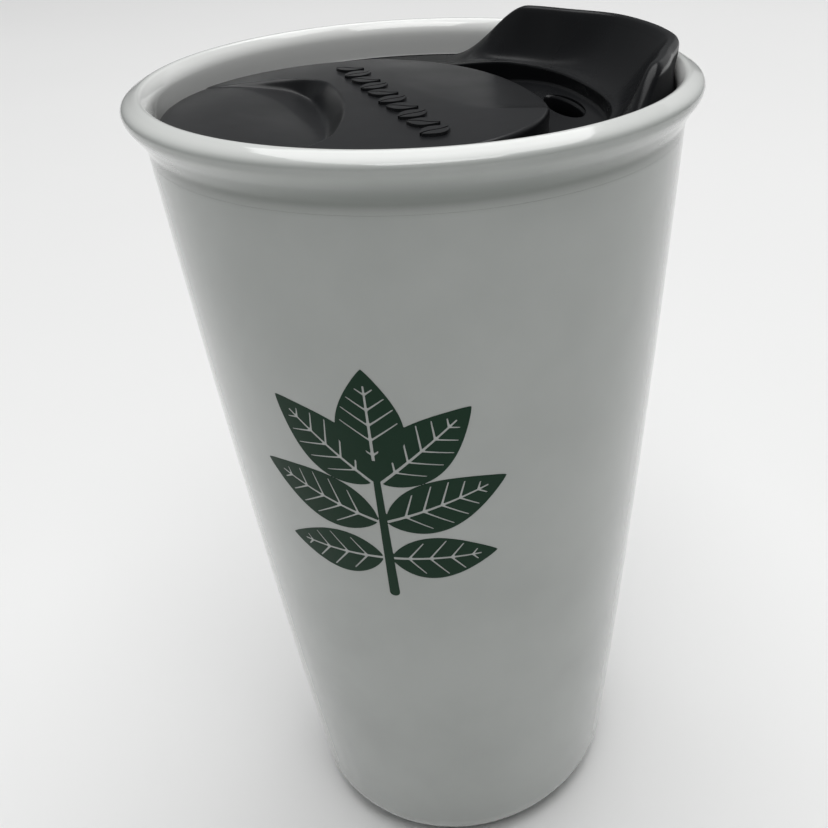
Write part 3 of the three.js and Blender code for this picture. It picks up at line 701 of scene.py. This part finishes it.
def lid_rows():
    n = 432
    th = np.linspace(-math.pi, math.pi, n, endpoint=False)
    deg = np.degrees(np.abs(th))
    w = smooth((SPOUT_END - deg) / (SPOUT_END - SPOUT_FULL))
    base = DECK_Z + (LEDGE_Z - DECK_Z) * w
    rise = (LID_TOP - LEDGE_Z) * w
    top = base + rise
    cs, sn = np.cos(th), np.sin(th)
    rho = track_reach(cs, sn)
    ends = smooth((deg - 12) / 20)
    rows = []

    def row(r, z):
        r = r + 0 * cs
        z = z + 0 * cs
        rows.append([(r[i] * cs[i], r[i] * sn[i], z[i]) for i in range(n)])

    fr = 0.7                                    # floor to wall
    for s in list(np.linspace(0.05, 0.93, 30)) + [0.955, 0.975]:
        r = (rho - fr) * s
        row(r, ramp_z(r * cs))
    for a in np.linspace(0, 90, 7):
        a = math.radians(a)
        r = rho - fr + fr * math.sin(a)
        row(r, ramp_z((rho - fr) * cs) + fr * (1 - math.cos(a)))
    er = 0.45                                   # wall to ledge
    zf = ramp_z((rho - fr) * cs) + fr
    for k in (0.25, 0.5, 0.75):
        row(rho, zf + (base - er - zf) * k)
    for a in np.linspace(0, 90, 7):
        a = math.radians(a)
        row(rho + er * (1 - math.cos(a)), base - er + er * math.sin(a))
    # ledge, sweep and crest
    ra = 0.35 + 0.85 * smooth(rise / 5.5)       # crest radius
    alpha = np.radians(90 + 50 * smooth(rise / 6.0))
    edge_r = face_r(top - ra, ends)
    rc, zc = edge_r - ra, top - ra
    p3r, p3z = rc + ra * np.cos(alpha), zc + ra * np.sin(alpha)
    dr, dz = np.sin(alpha), -np.cos(alpha)
    p0r = rho + er
    span = p3r - p0r
    p1r = p0r + 0.42 * span
    p2r, p2z = p3r - 0.40 * span * dr, p3z - 0.40 * span * dz * smooth(rise / 3)
    for t in np.linspace(0, 1, 34)[1:]:
        b0, b1, b2, b3 = (1 - t) ** 3, 3 * t * (1 - t) ** 2, 3 * t * t * (1 - t), t ** 3
        row(b0 * p0r + b1 * p1r + b2 * p2r + b3 * p3r, b0 * base + b1 * base + b2 * p2z + b3 * p3z)
    for k in np.linspace(0, 1, 14)[1:]:
        a = alpha + (0 - alpha) * k
        row(rc + ra * np.cos(a), zc + ra * np.sin(a))
    for k in np.linspace(0, 1, 20)[1:]:
        z = (top - ra) + (DECK_Z - (top - ra)) * k
        row(face_r(z, ends), z)
    # shoulder, skirt, groove, inside of the skirt, underside of the floor
    low = rounded([
        (41.65, DECK_Z), (41.25, DECK_Z - 0.75, 0.2), (LID_R - 1.5, SEAT_TOP_Z - 0.15, 0.4), (skirt_r(139.1), 139.1, 0.4),
        (skirt_r(GROOVE_Z1), GROOVE_Z1, 0.25), (skirt_r(GROOVE_Z1) - GROOVE_D, GROOVE_Z1, 0.2),
        (skirt_r(GROOVE_Z0) - GROOVE_D, GROOVE_Z0, 0.2), (skirt_r(GROOVE_Z0), GROOVE_Z0, 0.25),
        (skirt_r(SKIRT_BOT + 1), SKIRT_BOT + 1, 0.5), (skirt_r(SKIRT_BOT) - 0.9, SKIRT_BOT, 0.5),
        (skirt_r(SKIRT_BOT) - SKIRT_T - GROOVE_D + 0.4, SKIRT_BOT, 0.5), (skirt_r(134.5) - SKIRT_T - GROOVE_D, 134.5, 1.5),
        (skirt_r(134.5) - SKIRT_T - GROOVE_D - 1.8, FLOOR_Z - FLOOR_T, 1.0), (20.0, FLOOR_Z - FLOOR_T),
        (10.0, FLOOR_Z - FLOOR_T), (3.0, FLOOR_Z - FLOOR_T),
    ], n=5)
    for r, z in densify(low[1:], 2.5):
        row(np.full(n, r), np.full(n, z))
    return rows


rows = lid_rows()
lid = from_rows("lid_body", rows, cap0=(0, 0, FLOOR_Z), cap1=(0, 0, FLOOR_Z - FLOOR_T))


def trumpet(name, x, y, a, b, z_low, z_high, flare, seg=64):
    """An oval cutter that opens out at both faces, so that the hole's edges come out rounded."""
    prof = [(0.0, z_low - 2), (flare * 1.6, z_low - 2), (flare, z_low - 0.02), (flare * 0.45, z_low + flare * 0.35), (0.12 * flare, z_low + flare * 0.75),
            (0, z_low + flare * 1.2), (0, z_high - flare * 1.2), (0.12 * flare, z_high - flare * 0.75), (flare * 0.45, z_high - flare * 0.35),
            (flare, z_high + 0.02), (flare * 1.6, z_high + 2)]
    rows = []
    for g, z in prof[1:]:
        rows.append([(x + (a + g) * math.cos(t), y + (b + g) * math.sin(t), z) for t in np.linspace(0, 2 * math.pi, seg, endpoint=False)])
    return from_rows(name, rows, cap0=(x, y, z_low - 2), cap1=(x, y, z_high + 2))


cut(lid, trumpet("cut_sip", SIP_X, 0, SIP_A, SIP_B, FLOOR_Z - FLOOR_T, float(ramp_z(SIP_X)) + 0.05, 0.45))
cut(lid, trumpet("cut_vent", VENT_X, 0, VENT_R, VENT_R, FLOOR_Z - FLOOR_T, FLOOR_Z, 0.3, 40))
for s in (1, -1):
    cut(lid, box_mesh("cut_slot", LEG_X - LEG_LX / 2 - 0.5, LEG_X + LEG_LX / 2 + TRAVEL + 0.5,
                      s * LEG_Y - LEG_LY / 2 - 0.3, s * LEG_Y + LEG_LY / 2 + 0.3, 130, 141, 0))
shade(lid.data, 38)
finish(lid, "lid", "lid_black", LID_BLACK, stands_for=["lid_body"])

# gasket with two fins
g0, g1, gm = GROOVE_Z0 + 0.3, GROOVE_Z1 - 0.3, (GROOVE_Z0 + GROOVE_Z1) / 2
gasket_profile = [(skirt_r(g0) - GROOVE_D + 0.1, g0, 0.3), (skirt_r(g0) - 0.15, g0, 0.3)]
for c in (gm - 1.7, gm + 1.7):
    gasket_profile += [(skirt_r(c) - 0.1, c - 0.9, 0.25), (seat_r(c) - 0.32, c + 0.1, 0.16), (seat_r(c) - 0.32, c + 0.5, 0.16), (skirt_r(c) - 0.1, c + 0.6, 0.25)]
gasket_profile += [(skirt_r(g1) - 0.15, g1, 0.3), (skirt_r(g1) - GROOVE_D + 0.1, g1, 0.3)]
gasket = lathe("lid_gasket", rounded(gasket_profile, n=5, closed=True), ring=True, step=1.5)
finish(gasket, "lid", "silicone_dark", SILICONE_DARK, stands_for=["lid_gasket"])


# ------------------------------------------------------------------ slider
CX = -TRAVEL
SCOOP_PROFILE = ([-60, -36.7, -31.3, -28.3, -24, -19.5, -16], [145.42, 145.38, 145.22, 144.85, 144.0, 142.8, 141.6])
BEND_Y = np.arange(-34, 34.01, 0.25)
# where the top bends into its front facet, from the near side to the far side
BEND_X = np.interp(BEND_Y, [-17, -14.9, -13.9, -12, -8.3, -3.3, 3.7, 8.9, 14.5, 21.1, 34], [19, 11.3, 9.1, 6.4, 4.3, 2.4, 0.0, -1.2, -1.2, -0.8, -0.8])
KERNEL = np.exp(-0.5 * (np.arange(-16, 17) / 5) ** 2)
BEND_X = np.convolve(np.pad(BEND_X, 16, mode="edge"), KERNEL / KERNEL.sum(), mode="valid")
FACET = (SLIDER_TOP - FRONT_Z) / 15.6
FLOOR_XS = np.arange(-60, -9.9, 0.25)
FLOOR_ZS = np.interp(FLOOR_XS, *SCOOP_PROFILE)
FLOOR_ZS = np.convolve(np.pad(FLOOR_ZS, 16, mode="edge"), KERNEL / KERNEL.sum(), mode="valid")


def slider_top(x, y):
    """Height of the slider's top: a flat deck, a shallow front facet and the thumb scoop."""
    q = (x - np.interp(y, BEND_Y, BEND_X)) * 0.93
    deck = SLIDER_TOP - 0.02 - FACET * 0.5 * (q + np.sqrt(q * q + 1.2))
    # distance to the scoop's outline, a rounded box that runs out through the rear
    face = x - (-12.4 - 0.0088 * (y - 8) ** 2)
    half = np.where(y > 0, 20.9 - 0.02 * np.maximum(0, -28 - x), 22.6)
    cr = 7.0
    dx = face + cr
    dy = np.abs(y) - (half - cr)
    d = np.hypot(np.maximum(dx, 0), np.maximum(dy, 0)) + np.minimum(np.maximum(dx, dy), 0) - cr
    steep = 1.25 + 1.35 * smooth((dy - dx + 5) / 10)
    floor = np.interp(x - 0.0070 * np.maximum(y, 0) ** 2, FLOOR_XS, FLOOR_ZS)
    dish = smax(floor, deck + steep * d, 0.8)
    return smin(deck, dish, 0.3)


def slider_rows():
    n = 600
    ph = np.linspace(-math.pi, math.pi, n, endpoint=False)
    cs, sn = np.cos(ph), np.sin(ph)

    def outline(inset, rear):
        a, w = rear - inset, SLIDER_W - inset
        back = ((cs / a) ** 2 + (sn / w) ** 2) ** -0.5
        return np.where(cs < 0, back, front_reach(cs, sn, SLIDER_A - inset, w))

    upper = outline(0, SLIDER_REAR)
    lower = outline(0.12, TRACK_REAR - 0.35)
    rows = []

    def row(r, z):
        rows.append([(CX + r[i] * cs[i], r[i] * sn[i], z[i]) for i in range(n)])

    er = 0.7
    for s in np.linspace(0, 1, 121)[1:]:
        r = (upper - er) * s
        row(r, slider_top(CX + r * cs, r * sn))
    z_edge = slider_top(CX + (upper - er) * cs, (upper - er) * sn)
    thin = np.minimum(er, (z_edge - (DECK_Z + 0.3)) * 0.8)
    for a in np.linspace(0, 90, 8)[1:]:
        a = math.radians(a)
        row(upper - er + er * math.sin(a), z_edge - thin * (1 - math.cos(a)))
    zl = np.full(n, DECK_Z + 0.3)
    row(upper, (z_edge - thin) * 0.4 + (zl + 0.2) * 0.6)
    row(upper, zl + 0.2)
    row(upper - 0.06, zl + 0.06)
    row(upper - 0.2, zl)
    over = np.maximum(upper - lower, 0.12)
    for k in (0.35, 0.7):
        row(np.maximum(upper - 0.2 - (over - 0.1) * k, lower + 0.02 * (1 - k)), zl - 0.002)
    bottom = ramp_z(CX + lower * cs + TRAVEL) + 0.35
    row(lower, zl - 0.1)
    row(lower, (zl - 0.1) * 0.5 + (bottom + 0.3) * 0.5)
    row(lower, bottom + 0.3)
    row(lower - 0.09, bottom + 0.09)
    row(lower - 0.3, bottom)
    row(lower - 1.6, ramp_z(CX + (lower - 1.6) * cs + TRAVEL) + 0.35)
    row(lower - 1.75, ramp_z(CX + (lower - 1.75) * cs + TRAVEL) + 0.45)
    row(lower - 1.9, ramp_z(CX + (lower - 1.9) * cs + TRAVEL) + 1.6)
    for s in (0.8, 0.6, 0.4, 0.2, 0.08):
        r = (lower - 1.9) * s
        row(r, ramp_z(CX + r * cs + TRAVEL) + 1.6)
    return rows


cover = from_rows("slider_cover", slider_rows(), cap0=(CX, 0, float(slider_top(np.array(CX), np.array(0.0)))), cap1=(CX, 0, FLOOR_Z + 1.6))
legs = [box_mesh("leg", LEG_X - LEG_LX / 2, LEG_X + LEG_LX / 2, s * LEG_Y - LEG_LY / 2, s * LEG_Y + LEG_LY / 2, CLIP_LO[2] - 0.6, FLOOR_Z + 2.2, 0.3) for s in (1, -1)]
join(cover, *legs)
shade(cover.data, 50)
finish(cover, "slider", "slider_black", SLIDER_BLACK, stands_for=["slider_cover"])


# raised motif band between the scoop and the crease: small slanted leaves in place of lettering
def motif(X, Y):
    f = np.full(X.shape, -9.0)
    count = 10
    for k in range(count):
        y = 22.4 - 44.8 * k / (count - 1)
        x = -5.6 - 0.078 * y
        a = math.radians(26 if k % 2 else -26) - 0.078
        u = (X - x) * math.cos(a) + (Y - y) * math.sin(a)
        v = -(X - x) * math.sin(a) + (Y - y) * math.cos(a)
        half = 1.95 * np.sin(np.pi * np.clip((u + 2.75) / 5.5, 0, 1)) ** 0.8
        body = np.minimum(half - np.abs(v), 2.75 - np.abs(u))
        body = np.minimum(body, np.abs(v + 0.22 * np.sin(u * 1.2)) - 0.17)
        f = np.maximum(f, body)
    return f


def on_slider(x, y, h):
    return (x, y, float(slider_top(np.array(x), np.array(y))) + h)


band = contour_solid("slider_motif", motif, -13.5, 2.5, -26, 26, 0.14, on_slider, 0.5, -0.3)
finish(band, "slider", "slider_black", SLIDER_BLACK)


# retainer, seals
def plate_ring(name, outer, inner, z0, z1, bevel=0.35):
    n = len(outer)
    def inset(pts, c, k):
        return [(c[0] + (p[0] - c[0]) * k, c[1] + (p[1] - c[1]) * k) for p in pts]
    c = (sum(p[0] for p in outer) / n, sum(p[1] for p in outer) / n)
    size = max(math.hypot(p[0] - c[0], p[1] - c[1]) for p in outer)
    k = 1 - bevel / size
    out_in = inset(outer, c, k)
    rows = [[(*p, z0) for p in out_in], [(*p, z0 + bevel * 0.4) for p in inset(outer, c, 1 - bevel * 0.3 / size)], [(*p, z0 + bevel) for p in outer],
            [(*p, z1 - bevel) for p in outer], [(*p, z1 - bevel * 0.4) for p in inset(outer, c, 1 - bevel * 0.3 / size)], [(*p, z1) for p in out_in]]
    if inner is None:
        return from_rows(name, rows, cap0=(*c, z0), cap1=(*c, z1), angle=40)
    wide = inset(inner, c, 1 + bevel / 5)
    rows += [[(*p, z1) for p in wide], [(*p, z1 - bevel) for p in inner], [(*p, z0 + bevel) for p in inner], [(*p, z0) for p in wide]]
    return from_rows(name, rows, ring=True, angle=40)


def round_rect(x0, x1, y0, y1, r, n=160):
    cx, cy, hx, hy = (x0 + x1) / 2, (y0 + y1) / 2, (x1 - x0) / 2, (y1 - y0) / 2
    pts = []
    for i in range(n):
        t = 2 * math.pi * i / n
        c, s = math.cos(t), math.sin(t)
        lo, hi = 0.0, hx + hy
        for _ in range(40):
            m = (lo + hi) / 2
            qx, qy = abs(m * c) - (hx - r), abs(m * s) - (hy - r)
            d = math.hypot(max(qx, 0), max(qy, 0)) + min(max(qx, qy), 0) - r
            lo, hi = (m, hi) if d < 0 else (lo, m)
        pts.append((cx + lo * c, cy + lo * s))
    return pts


hole = [(LEG_X + 4.9 * math.cos(2 * math.pi * i / 160), 6.9 * math.sin(2 * math.pi * i / 160)) for i in range(160)]
clip = plate_ring("slider_clip", round_rect(CLIP_LO[0], CLIP_HI[0], CLIP_LO[1], CLIP_HI[1], 3), hole, CLIP_LO[2], CLIP_HI[2])
finish(clip, "slider", "clip_black", CLIP_BLACK, stands_for=["slider_clip"])

vlo, vhi = node_mm("vent_seal")
vx = (vlo[0] + vhi[0]) / 2
circle = [(vx + 3.0 * math.cos(2 * math.pi * i / 72), 3.0 * math.sin(2 * math.pi * i / 72)) for i in range(72)]
vent = plate_ring("vent_seal", circle, None, vlo[2], vhi[2], 0.4)
finish(vent, "slider", "silicone_dark", SILICONE_DARK, stands_for=["vent_seal"])

slo, shi = node_mm("sip_seal")
pad = round_rect(slo[0], shi[0], slo[1], shi[1], 2.2, 96)
def pad_rows():
    rows = []
    for dz, k in ((0.0, 0.95), (0.1, 0.985), (0.3, 1.0), (1.1, 1.0), (1.3, 0.985), (1.4, 0.95)):
        c = ((slo[0] + shi[0]) / 2, 0)
        rows.append([(c[0] + (x - c[0]) * k, y * k, float(ramp_z(c[0] + (x - c[0]) * k + TRAVEL)) + 0.3 + dz) for x, y in pad])
    return rows
cxp = (slo[0] + shi[0]) / 2
seal = from_rows("sip_seal", pad_rows(), cap0=(cxp, 0, float(ramp_z(cxp + TRAVEL)) + 0.3), cap1=(cxp, 0, float(ramp_z(cxp + TRAVEL)) + 1.7), angle=50)
finish(seal, "slider", "silicone_dark", SILICONE_DARK, stands_for=["sip_seal"])


# ------------------------------------------------------------------ floor, light, camera
def floor_material():
    m = Nodes("pale_floor")
    soft = m.noise(3.0, 4, 0.5)
    col = m.mix(soft, (0.83, 0.83, 0.825), (0.87, 0.87, 0.865))
    m.set(Base_Color=col, Roughness=0.65, Normal=m.bump(m.noise(700, 3, 0.5), 0.00005, 0.15))
    return m.mat


me = bpy.data.meshes.new("floor")
me.from_pydata([(-1.7, -1.7, -0.0002), (1.7, -1.7, -0.0002), (1.7, 1.7, -0.0002), (-1.7, 1.7, -0.0002)], [], [(0, 1, 2, 3)])
floor = bpy.data.objects.new("floor", me)
scene.collection.objects.link(floor)
floor.data.materials.append(floor_material())

world = bpy.data.worlds.new("studio")
scene.world = world
world.use_nodes = True
wt = world.node_tree
bg = next(n for n in wt.nodes if n.type == "BACKGROUND")
geo = wt.nodes.new("ShaderNodeTexCoord")
sep = wt.nodes.new("ShaderNodeSeparateXYZ")
wt.links.new(geo.outputs["Generated"], sep.inputs[0])
ramp = wt.nodes.new("ShaderNodeMapRange")          # dim on the camera's side and overhead, brighter low down behind
ramp.interpolation_type = "SMOOTHSTEP"
wt.links.new(sep.outputs[1], ramp.inputs["Value"])
for key, val in (("From Min", -0.8), ("From Max", 0.8), ("To Min", 0.07), ("To Max", 0.16)):
    ramp.inputs[key].default_value = val
low = wt.nodes.new("ShaderNodeMapRange")
low.interpolation_type = "SMOOTHSTEP"
wt.links.new(sep.outputs[2], low.inputs["Value"])
for key, val in (("From Min", 0.0), ("From Max", 0.5), ("To Min", 0.75), ("To Max", 1.3)):
    low.inputs[key].default_value = val
combine = wt.nodes.new("ShaderNodeMath")
combine.operation = "MULTIPLY"
wt.links.new(ramp.outputs["Result"], combine.inputs[0])
wt.links.new(low.outputs["Result"], combine.inputs[1])
# seen directly, past the floor's edge, the world is as pale as the floor
seen = wt.nodes.new("ShaderNodeLightPath")
show = wt.nodes.new("ShaderNodeMix")
wt.links.new(seen.outputs["Is Camera Ray"], show.inputs[0])
wt.links.new(combine.outputs[0], show.inputs[2])
show.inputs[3].default_value = 0.72
wt.links.new(show.outputs[0], bg.inputs["Strength"])
bg.inputs["Color"].default_value = (0.97, 0.985, 1.0, 1)


def area(name, loc, target, size, size_y, power, color=(1, 1, 1)):
    light = bpy.data.lights.new(name, "AREA")
    light.shape = "RECTANGLE"
    light.size, light.size_y = size, size_y
    light.energy = power
    light.color = color
    ob = bpy.data.objects.new(name, light)
    ob.location = loc
    ob.rotation_euler = (Vector(target) - Vector(loc)).to_track_quat("-Z", "Y").to_euler()
    scene.collection.objects.link(ob)
    return ob


area("ceiling", (0.35, 0.6, 2.6), (0.35, 0.6, 0), 2.8, 2.6, 62)
area("front_top", (-0.1, -0.85, 1.9), (0, 0, 0.12), 1.3, 0.8, 13)
area("left_window", (-1.5, 0.35, 0.6), (0, 0, 0.10), 1.2, 1.2, 0.5, (0.98, 1.0, 1.0))
area("right_window", (1.4, 0.9, 0.55), (0, 0, 0.08), 1.0, 1.0, 0.9)

YAW = math.radians(14.0)
DH, HC, PITCH, CAM_YAW, ROLL = 160.1226, 186.3303, 0.4426261, 0.1048727, -0.0255136
F_PX, CX_PX, CY_PX = 969.1518, 526.2319, 279.3782
fwd = Vector((math.sin(CAM_YAW) * math.cos(PITCH), math.cos(CAM_YAW) * math.cos(PITCH), -math.sin(PITCH)))
right = Vector((math.cos(CAM_YAW), -math.sin(CAM_YAW), 0))
up = right.cross(fwd)
r2 = math.cos(ROLL) * right + math.sin(ROLL) * up
u2 = -math.sin(ROLL) * right + math.cos(ROLL) * up
turn = Matrix.Rotation(-YAW, 3, "Z")
loc, r2, u2, back = (turn @ v for v in (Vector((0, -DH, HC)) * MM, r2, u2, -fwd))
cam_data = bpy.data.cameras.new("camera")
cam_data.sensor_width = 36
cam_data.lens = F_PX / 828 * 36
cam_data.clip_start, cam_data.clip_end = 0.01, 50
cam = bpy.data.objects.new("camera", cam_data)
cam.matrix_world = Matrix((
    (r2.x, u2.x, back.x, loc.x),
    (r2.y, u2.y, back.y, loc.y),
    (r2.z, u2.z, back.z, loc.z),
    (0, 0, 0, 1),
))
scene.collection.objects.link(cam)
scene.camera = cam
# the lens shift belongs to this one viewpoint: a camera moved away from it looks straight ahead
spot = bpy.data.objects.new("viewpoint", None)
spot.location = loc
scene.collection.objects.link(spot)
for key, value in (("shift_x", (414 - CX_PX) / 828), ("shift_y", (CY_PX - 414) / 828)):
    setattr(cam_data, key, value)
    curve = cam_data.driver_add(key)
    for mod in list(curve.modifiers):
        curve.modifiers.remove(mod)
    curve.driver.type = "SUM"
    var = curve.driver.variables.new()
    var.type = "LOC_DIFF"
    var.targets[0].id, var.targets[1].id = cam, spot
    for away, amount in ((0.0, value), (0.015, value), (0.03, 0.0), (1.0, 0.0)):
        curve.keyframe_points.insert(away, amount).interpolation = "LINEAR"
scene.view_settings.view_transform = "Standard"
scene.view_settings.look = "None"
